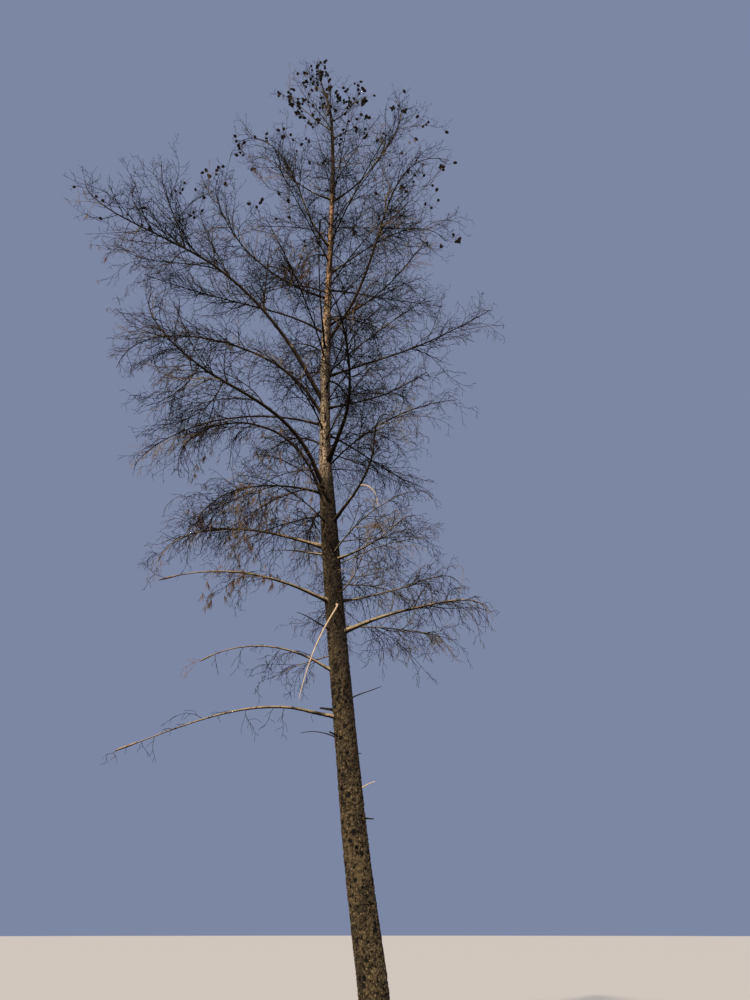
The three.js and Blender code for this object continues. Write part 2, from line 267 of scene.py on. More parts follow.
# Small pieces have two tones: dark and light, the values of the pattern between which it turns light, its
# blotches to the metre, detail, roughness and squeeze, then the surface's roughness and shine
twoTones = {
    # dead twigs, rough with the scars of their needles, some 22 mm apart
    "charred_twig": ("#0c0906", "#1b140f", (0.35, 0.65), (45, 3), 0.9, 0.1),
    "brown_twig": ("#2c2117", "#4e3d2b", (0.35, 0.65), (45, 3), 0.9, 0.1),
    "weathered_twig": ("#6c5b44", "#958160", (0.35, 0.65), (45, 3), 0.9, 0.1),
    # broken ends burnt through to charcoal, with cracks about 17 mm apart
    "charred_wood": ("#0e0b09", "#2b241e", (0.4, 0.65), (60, 3, 0.6, 0.5), 0.8, 0.2),
    # wood whose bark has dropped off, pale and silky, with streaks about 17 mm apart
    "bared_pine_wood": ("#b89c79", "#d8c3a2", (0.3, 0.7), (60, 3, 0.6, 0.2), 0.7, 0.2),
    # a weathered cone, dark brown with paler scale tips, about 11 mm apart
    "old_pine_cone": ("#090706", "#2a2018", (0.4, 0.65), (90, 2), 0.75, 0.2),
    # needles scorched brown, faded in patches about 80 mm wide
    "scorched_needles": ("#4f3c2a", "#7f6546", (0.35, 0.65), (12, 2), 0.8, 0.2),
}


def twoToned(name):  # a material from its row above
    dark, light, limits, pattern, roughness, shine = twoTones[name]
    material, tree = newMaterial(name)
    colour = coat(tree, dark, light, (blotches(tree, *pattern), *limits))
    finishMaterial(tree, colour, roughness, shine=shine)
    return material


trunkBark = charredPineBark()
limbBark = scorchedLimbBark()
twigMaterials = [twoToned(name) for name in ("charred_twig", "brown_twig", "weathered_twig")]
paleWood = twoToned("bared_pine_wood")
burntWood = twoToned("charred_wood")
coneMaterial = twoToned("old_pine_cone")
needleMaterial = twoToned("scorched_needles")
report("materials")


# Geometry Nodes: trees, and the plain meshes that they leave

def newTree(name, inputs, **attributes):  # a tree, its named inputs and what it reads from the mesh's points
    tree = bpy.data.node_groups.new(name, "GeometryNodeTree")
    for way in ("INPUT", "OUTPUT"):
        tree.interface.new_socket("Geometry", in_out=way, socket_type="NodeSocketGeometry")
    for label, (kind, value) in inputs.items():
        socket = tree.interface.new_socket(label, in_out="INPUT", socket_type=f"NodeSocket{kind}")
        if value is not None:
            socket.default_value = value
    own = []
    for label, kind in attributes.items():
        reader = "GeometryNodeInputNamedAttribute"
        own.append(put(tree, reader, {"Name": label}, "Attribute", data_type=kind))
    return tree, put(tree, "NodeGroupInput", out=None), own


def finishTree(tree, shape, materials, tint=None):  # realizes all and sets the material, by tint where given
    shape = put(tree, "GeometryNodeRealizeInstances", {0: shape})
    for index, material in enumerate(materials):
        sockets = {"Geometry": shape, "Material": material}
        if tint is not None:
            test = {"data_type": "INT", "operation": "EQUAL"}
            sockets["Selection"] = put(tree, "FunctionNodeCompare", {2: tint, 3: index}, **test)
        shape = put(tree, "GeometryNodeSetMaterial", sockets)
    put(tree, "NodeGroupOutput", {0: shape}, out=None)
    return tree


def linked(name, data):  # a new object, put in the scene
    piece = bpy.data.objects.new(name, data)
    bpy.context.scene.collection.objects.link(piece)
    return piece


def throughTree(name, mesh, tree, values):  # runs a mesh through a tree and keeps the plain result
    carrier = linked(name + "_carrier", mesh)
    modifier = carrier.modifiers.new("make", "NODES")
    modifier.node_group = tree
    sockets = {s.name: s.identifier for s in tree.interface.items_tree if s.in_out == "INPUT"}
    for label, value in values.items():
        modifier[sockets[label]] = value
    evaluated = carrier.evaluated_get(bpy.context.evaluated_depsgraph_get())
    result = bpy.data.meshes.new_from_object(evaluated)
    result.name = name
    for label in [a.name for a in result.attributes if a.name in ("thickness", "tint", "aim", "size")]:
        result.attributes.remove(result.attributes[label])
    bpy.data.objects.remove(carrier)
    return linked(name, result)


def lineMesh(name, lines):  # a chain of edges for each line, with its thickness, tint and, for limbs, foot
    mesh = bpy.data.meshes.new(name)
    points = []
    edges = []
    for line in lines:
        edges.extend((i, i + 1) for i in range(len(points), len(points) + len(line["points"]) - 1))
        points.extend(line["points"])
    mesh.from_pydata(points, edges, [])
    thickness = [radius for line in lines for radius in line["radii"]]
    mesh.attributes.new("thickness", "FLOAT", "POINT").data.foreach_set("value", thickness)
    for label, kind in (("tint", "INT"), ("foot", "FLOAT")):
        if label in lines[0]:
            values = [line[label] for line in lines for _ in line["points"]]
            mesh.attributes.new(label, kind, "POINT").data.foreach_set("value", values)
    return mesh


def skinTree():  # tubes round lines: the side count, an uneven surface and up to three materials by tint
    tree, given, (thickness, tint) = newTree("skin", {
        "Sides": ("Int", 3), "Lump Depth": ("Float", 0.0), "Lumps Per Metre": ("Float", 20.0),
        "Material 0": ("Material", None), "Material 1": ("Material", None), "Material 2": ("Material", None),
    }, thickness="FLOAT", tint="INT")
    curves = put(tree, "GeometryNodeMeshToCurve", {"Mesh": given["Geometry"]})
    ring = put(tree, "GeometryNodeCurvePrimitiveCircle", {"Resolution": given["Sides"], "Radius": 1.0})
    sockets = {"Curve": curves, "Profile Curve": ring, "Scale": thickness, "Fill Caps": True}
    tubes = put(tree, "GeometryNodeCurveToMesh", sockets)
    lumps = put(tree, "ShaderNodeTexNoise", {"Scale": given["Lumps Per Metre"], "Detail": 3.0}, "Fac")
    lumps = put(tree, "ShaderNodeMath", {0: lumps, 1: 0.5}, operation="SUBTRACT")
    for factor in (given["Lump Depth"], thickness):
        lumps = put(tree, "ShaderNodeMath", {0: lumps, 1: factor}, operation="MULTIPLY")
    push = {0: put(tree, "GeometryNodeInputNormal"), "Scale": lumps}
    push = put(tree, "ShaderNodeVectorMath", push, operation="SCALE")
    tubes = put(tree, "GeometryNodeSetPosition", {"Geometry": tubes, "Offset": push})
    tubes = put(tree, "GeometryNodeSetShadeSmooth", {"Geometry": tubes})
    return finishTree(tree, tubes, [given[f"Material {index}"] for index in range(3)], tint)


def scatterTree():  # one shape at every point, aimed along the point's own direction and as large as it says
    tree, given, (aim, size) = newTree("scatter", {
        "Shape": ("Object", None), "Size Spread": ("Float", 0.2), "Seed": ("Int", 0),
        "Material 0": ("Material", None),
    }, aim="FLOAT_VECTOR", size="FLOAT")
    shape = put(tree, "GeometryNodeObjectInfo", {"Object": given["Shape"]}, "Geometry")
    aim = put(tree, "FunctionNodeAlignRotationToVector", {"Vector": aim}, axis="Z")
    turn = {2: 0.0, 3: 6.283, "Seed": given["Seed"]}  # a whole turn in radians
    turn = put(tree, "FunctionNodeRandomValue", turn, 1, data_type="FLOAT")
    spin = put(tree, "FunctionNodeAxisAngleToRotation", {"Axis": (0, 0, 1), "Angle": turn})
    turned = put(tree, "FunctionNodeRotateRotation", {0: aim, 1: spin}, rotation_space="LOCAL")
    least = put(tree, "ShaderNodeMath", {0: 1.0, 1: given["Size Spread"]}, operation="SUBTRACT")
    most = put(tree, "ShaderNodeMath", {0: 1.0, 1: given["Size Spread"]}, operation="ADD")
    scale = {2: least, 3: most, "Seed": given["Seed"]}
    scale = put(tree, "FunctionNodeRandomValue", scale, 1, data_type="FLOAT")
    scale = put(tree, "ShaderNodeMath", {0: scale, 1: size}, operation="MULTIPLY")
    sockets = {"Points": given["Geometry"], "Instance": shape, "Rotation": turned, "Scale": scale}
    return finishTree(tree, put(tree, "GeometryNodeInstanceOnPoints", sockets), [given["Material 0"]])


def barkTree():  # cuts grooves, pits and knots into the trunk, deep at its foot and fine above
    relief = {  # metres out of the skin, or into it below 0
        "Grooves": -0.006, "Pits": -0.012, "Lumps": 0.016, "Rubble": 0.034, "Knots": -0.016, "Rims": 0.008,
        "Fades From": 3.0, "Fades To": 9.0, "Least Share": 0.16,  # heights, and what is left above them
    }
    hollow = (0.008, 0.026, 1.0, 0.0)  # metres from a knot's middle to the edge of its hollow
    rim = (0.02, 0.06, 1.0, 0.0), (0.012, 0.03)  # and the outer and inner slopes of its rim
    tree, given, _ = newTree("bark_relief", {
        **{label: ("Float", value) for label, value in relief.items()},
        "Marks": ("Object", None), "Material 0": ("Material", None),
    })
    place = put(tree, "GeometryNodeInputPosition")
    height = put(tree, "ShaderNodeSeparateXYZ", {0: place}, 2)
    marks = put(tree, "GeometryNodeObjectInfo", {"Object": given["Marks"]}, "Geometry")
    near = put(tree, "GeometryNodeProximity", {"Geometry": marks}, "Distance", target_element="POINTS")
    hole = shareOf(tree, (near, *hollow))
    broken = [("Grooves", barkGrooves(tree, place)), ("Pits", barkPits(tree, place))]
    detail, roughness = barkPattern["rubble"]
    for label in ("Lumps", "Rubble"):
        perMetre = barkPattern[label.lower() + "PerMetre"]
        sockets = {"Vector": place, "Scale": perMetre, "Detail": detail, "Roughness": roughness}
        waves = put(tree, "ShaderNodeTexNoise", sockets, "Fac")
        broken.append((label, put(tree, "ShaderNodeMath", {0: waves, 1: 0.5}, operation="SUBTRACT")))
    sockets = {"Value": height, "From Min": given["Fades From"], "From Max": given["Fades To"]}
    fade = put(tree, "ShaderNodeMapRange", {**sockets, "To Min": 1.0, "To Max": given["Least Share"]})
    knotted = [("Rims", shareOf(tree, *[(near, *slope) for slope in rim])), ("Knots", hole)]
    total = 0.0
    for parts, kept in ((broken, fade), (knotted, 1.0)):  # knots are as deep all the way up
        for label, part in parts:
            sockets = {0: part, 1: given[label], 2: total}
            total = put(tree, "ShaderNodeMath", sockets, operation="MULTIPLY_ADD")
        total = put(tree, "ShaderNodeMath", {0: total, 1: kept}, operation="MULTIPLY")
    level = {0: put(tree, "GeometryNodeInputNormal"), 1: (1, 1, 0)}
    level = put(tree, "ShaderNodeVectorMath", level, operation="MULTIPLY")
    push = put(tree, "ShaderNodeVectorMath", {0: level, "Scale": total}, operation="SCALE")
    sockets = {"Geometry": given["Geometry"], "Name": "knot", "Value": hole}
    shape = put(tree, "GeometryNodeStoreNamedAttribute", sockets, domain="POINT")
    shape = put(tree, "GeometryNodeSetPosition", {"Geometry": shape, "Offset": push})
    shape = put(tree, "GeometryNodeSetShadeSmooth", {"Geometry": shape})
    return finishTree(tree, shape, [given["Material 0"]])


skin = skinTree()
scatter = scatterTree()
barkRelief = barkTree()
report("node trees")


# The trunk: the frame's rings, made round and fine

def cornersOf(name):  # a frame node's corners, each once, and which of them each vertex is
    points = np.array([v.co for v in cadNodes[name].data.vertices], float).round(5)
    corners, same = np.unique(points, axis=0, return_inverse=True)
    return corners, same.ravel()


def readTrunk():  # its rings' heights, middles and radii, and the turn at which each begins
    points = cornersOf("trunk")[0]
    levels = np.round(points[:, 2], 3)
    rings = []
    for level in np.unique(levels):
        ring = points[levels == level]
        reach = np.hypot(*(ring - ring.mean(0))[:, :2].T)
        ring = ring[reach > reach.max() * 0.5]  # leaves out the middle point of a flat end
        centre = ring.mean(0)
        turn = np.arctan2(ring[:, 1] - centre[1], ring[:, 0] - centre[0]) % (2 * math.pi)
        order = np.argsort(turn)
        radii = np.hypot(ring[:, 0] - centre[0], ring[:, 1] - centre[1])[order]
        rings.append((centre, radii, turn[order][0]))
    centres, radii, turns = zip(*rings)
    return np.array(centres)[:, 2], np.array(centres), np.array(radii), turns[0]


def smoothRows(heights, rows, at):  # rows between heights, with no corner where they meet
    slopes = np.gradient(rows, heights, axis=0)
    index = np.clip(np.searchsorted(heights, at) - 1, 0, len(heights) - 2)
    gap = (heights[index + 1] - heights[index])[:, None]
    t = (at - heights[index])[:, None] / gap
    first = (2 * t ** 3 - 3 * t ** 2 + 1) * rows[index] + (t ** 3 - 2 * t ** 2 + t) * gap * slopes[index]
    return first + (3 * t ** 2 - 2 * t ** 3) * rows[index + 1] + (t ** 3 - t ** 2) * gap * slopes[index + 1]


trunkHeights, trunkCentres, trunkRadii, trunkTurn = readTrunk()


def trunkAt(height):  # the trunk's axis and mean radius at a height
    centre = smoothRows(trunkHeights, trunkCentres, np.array([height]))[0]
    radius = np.interp(height, trunkHeights, trunkRadii.mean(1))
    return Vector(centre), float(radius)


def trunkGrid(low, high, sides, step):  # a fine closed tube of the trunk between two heights
    count = round((high - low) / step) + 1
    at = np.linspace(low, high, count)
    centres = smoothRows(trunkHeights, trunkCentres, at)
    radii = np.maximum(smoothRows(trunkHeights, trunkRadii, at), 0.003)  # 3 mm at least
    radii = np.fft.irfft(np.fft.rfft(radii, axis=1), n=sides, axis=1) * sides / trunkRadii.shape[1]
    turn = trunkTurn + np.arange(sides) * 2 * math.pi / sides
    points = np.empty((count, sides, 3))
    points[:, :, 0] = centres[:, None, 0] + radii * np.cos(turn)
    points[:, :, 1] = centres[:, None, 1] + radii * np.sin(turn)
    points[:, :, 2] = at[:, None]
    return ringMesh("trunk_grid", points.reshape(-1, 3).tolist(), sides)


def ringMesh(name, points, sides):  # a closed body of rings with the same number of points
    faces = [tuple(range(sides - 1, -1, -1))]
    for base in range(0, len(points) - sides, sides):
        for i in range(sides):
            beside = (i + 1) % sides
            faces.append((base + i, base + beside, base + sides + beside, base + sides + i))
    faces.append(tuple(range(len(points) - sides, len(points))))
    mesh = bpy.data.meshes.new(name)
    mesh.from_pydata(points, [], faces)
    return mesh


trunkPieces = {  # heights, sides and the distance between rings, in metres
    "trunk_foot": {"low": 0.0, "high": 3.0, "sides": 160, "step": 0.0079},
    "trunk_middle": {"low": 2.98, "high": 8.0, "sides": 112, "step": 0.009},
    "trunk_upper": {"low": 7.98, "high": float(trunkHeights[-1]), "sides": 56, "step": 0.0105},
}
# Knots, by height in metres and turn in degrees (270 faces the camera)
barkKnots = [(1.33, 257), (1.82, 311), (2.35, 275), (3.31, 275), (3.88, 293), (3.91, 242), (4.32, 251)]
stubs = {
    "seed": 8, "count": 46, "low": 2.6, "high": 13.0,  # heights in metres
    "turn": (170, 370), "rise": (-10, 45),  # degrees
    "sides": 7, "size": 0.11, "length": (0.25, 1.2),  # a size in metres, and shares of it
    # heights and radii, also as shares
    "profile": [(-0.3, 0.16), (0.0, 0.15), (0.1, 0.11), (0.5, 0.085), (0.92, 0.07), (1.0, 0.03)],
}


def onTrunk(height, turn):  # a place on the trunk's surface and the level way out of it
    centre, radius = trunkAt(height)
    out = Vector((math.cos(math.radians(turn)), math.sin(math.radians(turn)), 0))
    return centre + out * radius, out


def makeTrunk():
    mesh = bpy.data.meshes.new("knots")
    mesh.from_pydata([onTrunk(*row)[0] for row in barkKnots], [], [])
    marks = linked("knots", mesh)
    pieces = []
    for name, size in trunkPieces.items():
        values = {"Marks": marks, "Material 0": trunkBark}
        pieces.append(throughTree(name, trunkGrid(**size), barkRelief, values))
    bpy.data.objects.remove(marks)
    return pieces


def turnedShape(name, sides, profile, twist=0.0):  # rings by height and radius, each turned on by the twist
    points = []
    for index, (height, radius) in enumerate(profile):
        for i in range(sides):
            turn = (i + twist * index) * 2 * math.pi / sides
            points.append((radius * math.cos(turn), radius * math.sin(turn), height))
    return ringMesh(name, points, sides)


def scattered(name, shape, rows, values):  # copies of a shape: rows of place, way and size
    mesh = bpy.data.meshes.new(name)
    mesh.from_pydata([row[0] for row in rows], [], [])
    aims = [value for row in rows for value in row[1]]
    mesh.attributes.new("aim", "FLOAT_VECTOR", "POINT").data.foreach_set("vector", aims)
    mesh.attributes.new("size", "FLOAT", "POINT").data.foreach_set("value", [row[2] for row in rows])
    model = linked(name + "_shape", shape)
    piece = throughTree(name, mesh, scatter, {"Shape": model, **values})
    bpy.data.objects.remove(model)
    return piece


def makeStubs():
    dice = random.Random(stubs["seed"])
    rows = []
    for i in range(stubs["count"]):
        share = (i + dice.random()) / stubs["count"]
        height = stubs["low"] + (stubs["high"] - stubs["low"]) * share
        place, out = onTrunk(height, dice.uniform(*stubs["turn"]))
        rise = math.radians(dice.uniform(*stubs["rise"]))
        way = out * math.cos(rise) + up * math.sin(rise)
        rows.append((place, way, stubs["size"] * dice.uniform(*stubs["length"])))
    shape = turnedShape("stub", stubs["sides"], stubs["profile"])
    return scattered("trunk_stubs", shape, rows, {"Seed": stubs["seed"], "Material 0": burntWood})


trunk = makeTrunk() + [makeStubs()]
report("trunk")


# Limbs: read from the frame, and carried on through their mass of twigs

limbRules = {  # sizes in metres
    "sides": 6,  # of the frame's limbs
    "tip": 0.003, "hairTip": 0.0012,  # radii: of a tip, and the least anywhere
    "level": 0.25,  # least level share of a limb's way back into the trunk
    "bareFoot": 0.2, "smallBareFoot": 0.1,  # no twig grows this near the trunk's skin
    "smallBare": 0.2,  # share of a small limb's length that has no side branches
    "short": 0.22, "lift": 0.04,  # a limb ends this short of its mass's far tip, and passes above its middle
    "innerPoints": 12, "innerTip": 0.004,  # points and last radius of a limb inside its mass
    "taper": 0.9, "smallTaper": 0.8,  # powers of the share of the way to the tip
    "smallSteps": 16,
}


def ringsFromTip(name):  # a limb's rings in order from its tip, as far as they are whole
    places, same = cornersOf(name)
    beside = [set() for _ in places]
    for edge in cadNodes[name].data.edges:
        a, b = same[edge.vertices[0]], same[edge.vertices[1]]
        beside[a].add(b)
        beside[b].add(a)
    best = []
    for tip in range(len(places)):
        seen = {tip}
        layer = sorted(beside[tip])
        rings = [(places[tip], limbRules["tip"])]
        while len(layer) == limbRules["sides"]:
            ring = places[layer]
            centre = ring.mean(0)
            rings.append((centre, float(np.linalg.norm(ring - centre, axis=1).mean())))
            seen.update(layer)
            layer = sorted(set().union(*(beside[i] for i in layer)) - seen)
        if len(rings) > len(best):
            best = rings
    return best


def lengthOf(points):
    return sum((b - a).length for a, b in zip(points, points[1:]))


def readLimb(name):
    rings = ringsFromTip("bough_" + name)
    points = [Vector(c) for c, r in reversed(rings)]
    radii = [r for c, r in reversed(rings)]
    # back to the trunk's axis, from the last whole ring
    inward = (points[0] - points[1]).normalized()
    reach = (points[0] - trunkAt(points[0].z)[0]).to_2d().length
    level = max(inward.to_2d().length, limbRules["level"])
    points.insert(0, points[0] + inward * (reach / level))
    radii.insert(0, radii[0])
    tip = points.pop()
    radii.pop()
    limb = {"name": name, "points": points, "radii": radii, "onTrunk": True, "wood": 0}
    limb["foot"] = points[0].z
    limb["bareTo"] = lengthOf(points)
    limb["from"] = trunkAt(points[0].z)[1] + limbRules["bareFoot"]
    limb["home"] = name if name in masses else None
    if limb["home"]:
        throughMass(limb, masses[name])
    else:
        points.append(tip)
        radii.append(limbRules["tip"])
    return limb


def readMass(name):
    mesh = cadNodes["twigs_" + name].data
    corners = [v.co.copy() for v in mesh.vertices]
    faces = [tuple(p.vertices) for p in mesh.polygons]
    area = sum(p.area for p in mesh.polygons)
    middle = sum((p.center * p.area for p in mesh.polygons), Vector()) / area
    return {"tree": BVHTree.FromPolygons(corners, faces), "middle": middle, "corners": corners}


def throughMass(limb, mass):  # the limb goes on inside its mass nearly to the mass's far tip
    start = limb["points"][-1]
    radius = limb["radii"][-1]
    way = (limb["points"][-1] - limb["points"][-2]).normalized()
    end = max(mass["corners"], key=lambda c: (c - start).length)
    end = end - (end - start).normalized() * limbRules["short"]
    first = start + way * (end - start).length / 3
    second = 4 * (mass["middle"] + up * limbRules["lift"]) - start - first - end
    for i in range(1, limbRules["innerPoints"] + 1):
        t = i / limbRules["innerPoints"]
        point = start * (1 - t) ** 3 + first * 3 * t * (1 - t) ** 2
        limb["points"].append(point + second * 3 * t * t * (1 - t) + end * t ** 3)
        limb["radii"].append(radius * (1 - t) ** limbRules["taper"] + limbRules["innerTip"] * t)


limbNames = sorted(n[len("bough_"):] for n in cadNodes if n.startswith("bough_"))
massNames = sorted(n[len("twigs_"):] for n in cadNodes if n.startswith("twigs_"))
masses = {name: readMass(name) for name in massNames}
limbs = {name: readLimb(name) for name in limbNames}
report(f"{len(limbs)} limbs read")

# Smaller limbs: what each grows on and where (a height on the trunk in metres, or a share of a limb's
# length), its headings at foot and tip and its rises at foot, middle and tip in degrees (a heading of 0
# is +X, and 90 is away from the camera), its length in metres and its thickness at its foot in millimetres
smallLimbs = {
    "left_10_a": ("left_10", 0.32, (120, 60), (60, 84, 88), 1.7, 34),
    "left_10_b": ("left_10", 0.62, (182, 180), (76, 68, 88), 2.0, 24),
    "left_10_c": ("left_10_b", 0.28, (10, -5), (84, 55, 15), 1.0, 14),
    "left_10_d": ("left_10", 0.46, (186, 184), (62, 65, 80), 1.62, 20),
    "left_10_e": ("left_10", 0.62, (186, 178), (48, 46, 108), 1.75, 20),
    "left_10_f": ("left_10", 0.50, (197, 175), (12, 2, 65), 1.65, 18),
    "top_a": ("trunk", 14.14, (185, 178), (37, 51, 36), 1.45, 24),
    "top_b": ("trunk", 14.39, (0, 0), (40, 61, 78), 1.05, 21),
    "top_c": ("trunk", 13.03, (10, 20), (62, 60, 18), 1.25, 20),
    "top_d": ("trunk", 15.1, (182, 178), (60, 60, 72), 0.75, 14),
    "top_e": ("trunk", 14.9, (80, 70), (40, 50, 60), 0.95, 15),
    "top_f": ("trunk", 13.6, (262, 275), (40, 50, 50), 1.1, 18),
    "top_g": ("trunk", 13.4, (110, 100), (40, 45, 50), 1.15, 18),
    "left_12_a": ("left_12", 0.10, (235, 240), (60, 0, -75), 0.75, 11),
    "left_12_b": ("left_12", 0.16, (215, 200), (50, 10, -80), 0.8, 11),
    "left_t": ("trunk", 11.41, (165, 172), (50, 18, 11), 1.65, 19),
    "right_f": ("trunk", 11.65, (12, 12), (14, 12, 14), 1.55, 15),
    "right_13_a": ("right_13", 0.71, (0, 0), (25, 8, -5), 0.7, 10),
    "right_12_a": ("right_12", 0.82, (5, 0), (50, 12, -62), 0.85, 9),
    "left_7_a": ("left_7", 0.55, (208, 190), (-80, -50, -5), 1.2, 17),
    "left_7_b": ("left_7", 0.64, (204, 190), (-75, -55, -25), 0.95, 14),
    "left_7_c": ("left_7", 0.43, (212, 196), (-10, -28, -50), 1.1, 15),
    "left_7_d": ("left_7", 0.4, (185, 192), (65, 30, 8), 1.05, 15),
    "left_5_a": ("left_5", 0.16, (202, 196), (-25, -42, -55), 1.4, 19),
    "left_5_b": ("left_5", 0.36, (190, 185), (-20, -34, -52), 1.3, 15),
    "left_3_a": ("left_3", 0.3, (215, 200), (10, -10, -30), 0.8, 10),
    "left_r": ("trunk", 4.49, (155, 160), (-6, -11, -26), 0.92, 14),
    "right_a": ("trunk", 7.37, (32, 40), (44, 23, -52), 1.7, 19),
    "right_b": ("trunk", 7.05, (20, 15), (12, 8, 0), 0.65, 12),
    "right_g": ("trunk", 5.95, (25, 20), (20, 14, 4), 1.5, 16),
    "right_h": ("trunk", 5.6, (350, 356), (28, 18, 0), 1.25, 15),
    "right_c": ("trunk", 4.83, (35, 40), (12, 7, 0), 2.0, 20),
    "right_d": ("trunk", 5.38, (60, 50), (19, 14, -8), 1.85, 20),
    "right_e": ("trunk", 5.22, (320, 325), (6, 60, 56), 1.05, 18),
    "back_a": ("trunk", 11.8, (75, 68), (50, 45, 40), 1.7, 20),
    "back_b": ("trunk", 5.2, (95, 85), (20, 5, -20), 1.9, 24),
    "back_c": ("trunk", 7.4, (132, 120), (45, 20, -10), 2.3, 30),
    "back_d": ("trunk", 9.7, (60, 72), (45, 35, 30), 2.2, 25),
    "back_e": ("trunk", 12.9, (95, 100), (45, 50, 55), 1.4, 16),
    "back_f": ("trunk", 9.0, (120, 128), (50, 38, 20), 2.2, 26),
    "front_a": ("trunk", 10.6, (285, 280), (55, 45, 40), 1.3, 18),
    "front_b": ("trunk", 12.4, (250, 245), (50, 50, 45), 1.1, 16),
    "front_c": ("trunk", 7.6, (240, 226), (50, 20, -10), 1.7, 24),
    "front_d": ("trunk", 8.3, (290, 302), (38, 20, 0), 1.5, 22),
}
# Broken limbs carry no twigs, and end with their wood: barked (0), bared and pale (1) or burnt black (2)
brokenLimbs = {
    "left_s": ("trunk", 5.78, (150, 150), (17, 19, 6), 1.05, 28, 0),
    "left_x": ("trunk", 4.77, (225, 222), (-8, 14, -3), 0.63, 24, 2),
    "left_y": ("trunk", 5.1, (290, 170), (-10, -60, -78), 1.75, 22, 1),
    "left_z": ("trunk", 3.45, (200, 195), (25, 10, -20), 0.55, 14, 2),
    "right_x": ("right_4", 0.38, (340, 335), (0, -60, -85), 0.48, 17, 1),
    "right_y": ("trunk", 3.9, (340, 345), (30, 15, 20), 0.5, 16, 2),
    "right_z": ("trunk", 2.9, (350, 355), (20, 30, 10), 0.3, 14, 1),
}


def alongLine(points, share):  # the place at a share of a line's length, and the way it goes there
    lengths = [0.0]
    for a, b in zip(points, points[1:]):
        lengths.append(lengths[-1] + (b - a).length)
    want = share * lengths[-1]
    index = max(i for i, length in enumerate(lengths[:-1]) if length <= want)
    part = (want - lengths[index]) / max(lengths[index + 1] - lengths[index], 1e-6)
    return points[index].lerp(points[index + 1], part), (points[index + 1] - points[index]).normalized()


def smallLimb(name, parent, at, headings, rises, length, thick, wood=0):
    onTrunk = parent == "trunk"
    foot = trunkAt(at)[0] if onTrunk else alongLine(limbs[parent]["points"], at)[0]
    base = trunkAt(foot.z)[1] if onTrunk else 0.0
    steps = limbRules["smallSteps"]
    start, middle, end = rises
    points = [foot]
    for i in range(steps):
        t = (i + 0.5) / steps
        rise = math.radians(start * (1 - t) * (1 - 2 * t) + 4 * middle * t * (1 - t) + end * t * (2 * t - 1))
        heading = math.radians(headings[0] * (1 - t) + headings[1] * t)
        way = Vector((math.cos(rise) * math.cos(heading), math.cos(rise) * math.sin(heading), math.sin(rise)))
        points.append(points[-1] + way * (length / steps))
    tip, taper = limbRules["tip"], limbRules["smallTaper"]
    radii = [thick / 2000 * (1 - i / steps) ** taper + tip * i / steps for i in range(steps + 1)]
    return {
        "name": name, "points": points, "radii": radii, "onTrunk": onTrunk, "wood": wood, "home": None,
        "foot": foot.z if onTrunk else limbs[parent]["foot"],
        "bareTo": base + limbRules["smallBare"] * length, "from": base + limbRules["smallBareFoot"],
    }


for name, row in {**smallLimbs, **brokenLimbs}.items():
    limbs[name] = smallLimb(name, *row)

# Inner limbs fill the crown round the trunk, by turns behind it and in front
innerLimbs = {
    "seed": 5, "count": 33, "low": 5.6, "high": 13.3,  # heights in metres
    "farthest": 2.2,  # metres that they reach to front and back
    "spread": 62,  # degrees either way from straight back or forward
    "lengths": (0.55, 1.1),  # shares of the length for their height
    "uneven": (12, 15, 10),  # degrees that the foot's rise, the heading and the tip's rise vary
    "length": ((4.9, 1.5), (7.5, 2.4), (10.5, 2.6), (11.8, 1.9), (13.3, 0.8)),  # height and length in metres
    "rise": ((4.9, 10, -25), (8.0, 30, 0), (11.0, 40, 25), (13.3, 36, 30)),  # height, rise at foot and at tip
    "thick": (6, 8.5),  # millimetres, and more for each metre of length
}


def growInnerLimbs():
    dice = random.Random(innerLimbs["seed"])
    lengthHeights, lengths = zip(*innerLimbs["length"])
    riseHeights, feet, tips = zip(*innerLimbs["rise"])
    footVaries, headingVaries, tipVaries = innerLimbs["uneven"]
    for i in range(innerLimbs["count"]):
        share = (i + dice.uniform(0, 1)) / innerLimbs["count"]
        height = innerLimbs["low"] + (innerLimbs["high"] - innerLimbs["low"]) * share
        side, straight = ("back", 90) if i % 2 else ("front", 270)
        heading = straight + dice.uniform(-1, 1) * innerLimbs["spread"]
        length = np.interp(height, lengthHeights, lengths) * dice.uniform(*innerLimbs["lengths"])
        length = min(length, innerLimbs["farthest"] / abs(math.sin(math.radians(heading))))
        foot, tip = np.interp(height, riseHeights, feet), np.interp(height, riseHeights, tips)
        foot += dice.uniform(-footVaries, footVaries)
        headings = heading, heading + dice.uniform(-headingVaries, headingVaries)
        rises = foot, (foot + tip) / 2, tip + dice.uniform(-tipVaries, tipVaries)
        thick = innerLimbs["thick"][0] + innerLimbs["thick"][1] * length
        name = f"{side}_inner_{i}"
        limbs[name] = smallLimb(name, "trunk", height, headings, rises, length, thick)


growInnerLimbs()


def sideOf(name):  # which joined piece a limb belongs to
    return name.split("_")[0]


limbSkin = {
    "step": 0.03, "sides": 9,  # metres between rings, and sides of a ring
    "lumpDepth": 0.55, "lumpsPerMetre": 26.0,  # a share of the thickness, and lumps about 40 mm wide
    "collar": 0.45, "collarLength": 0.07,  # how much wider a foot is, and metres over which that fades
}


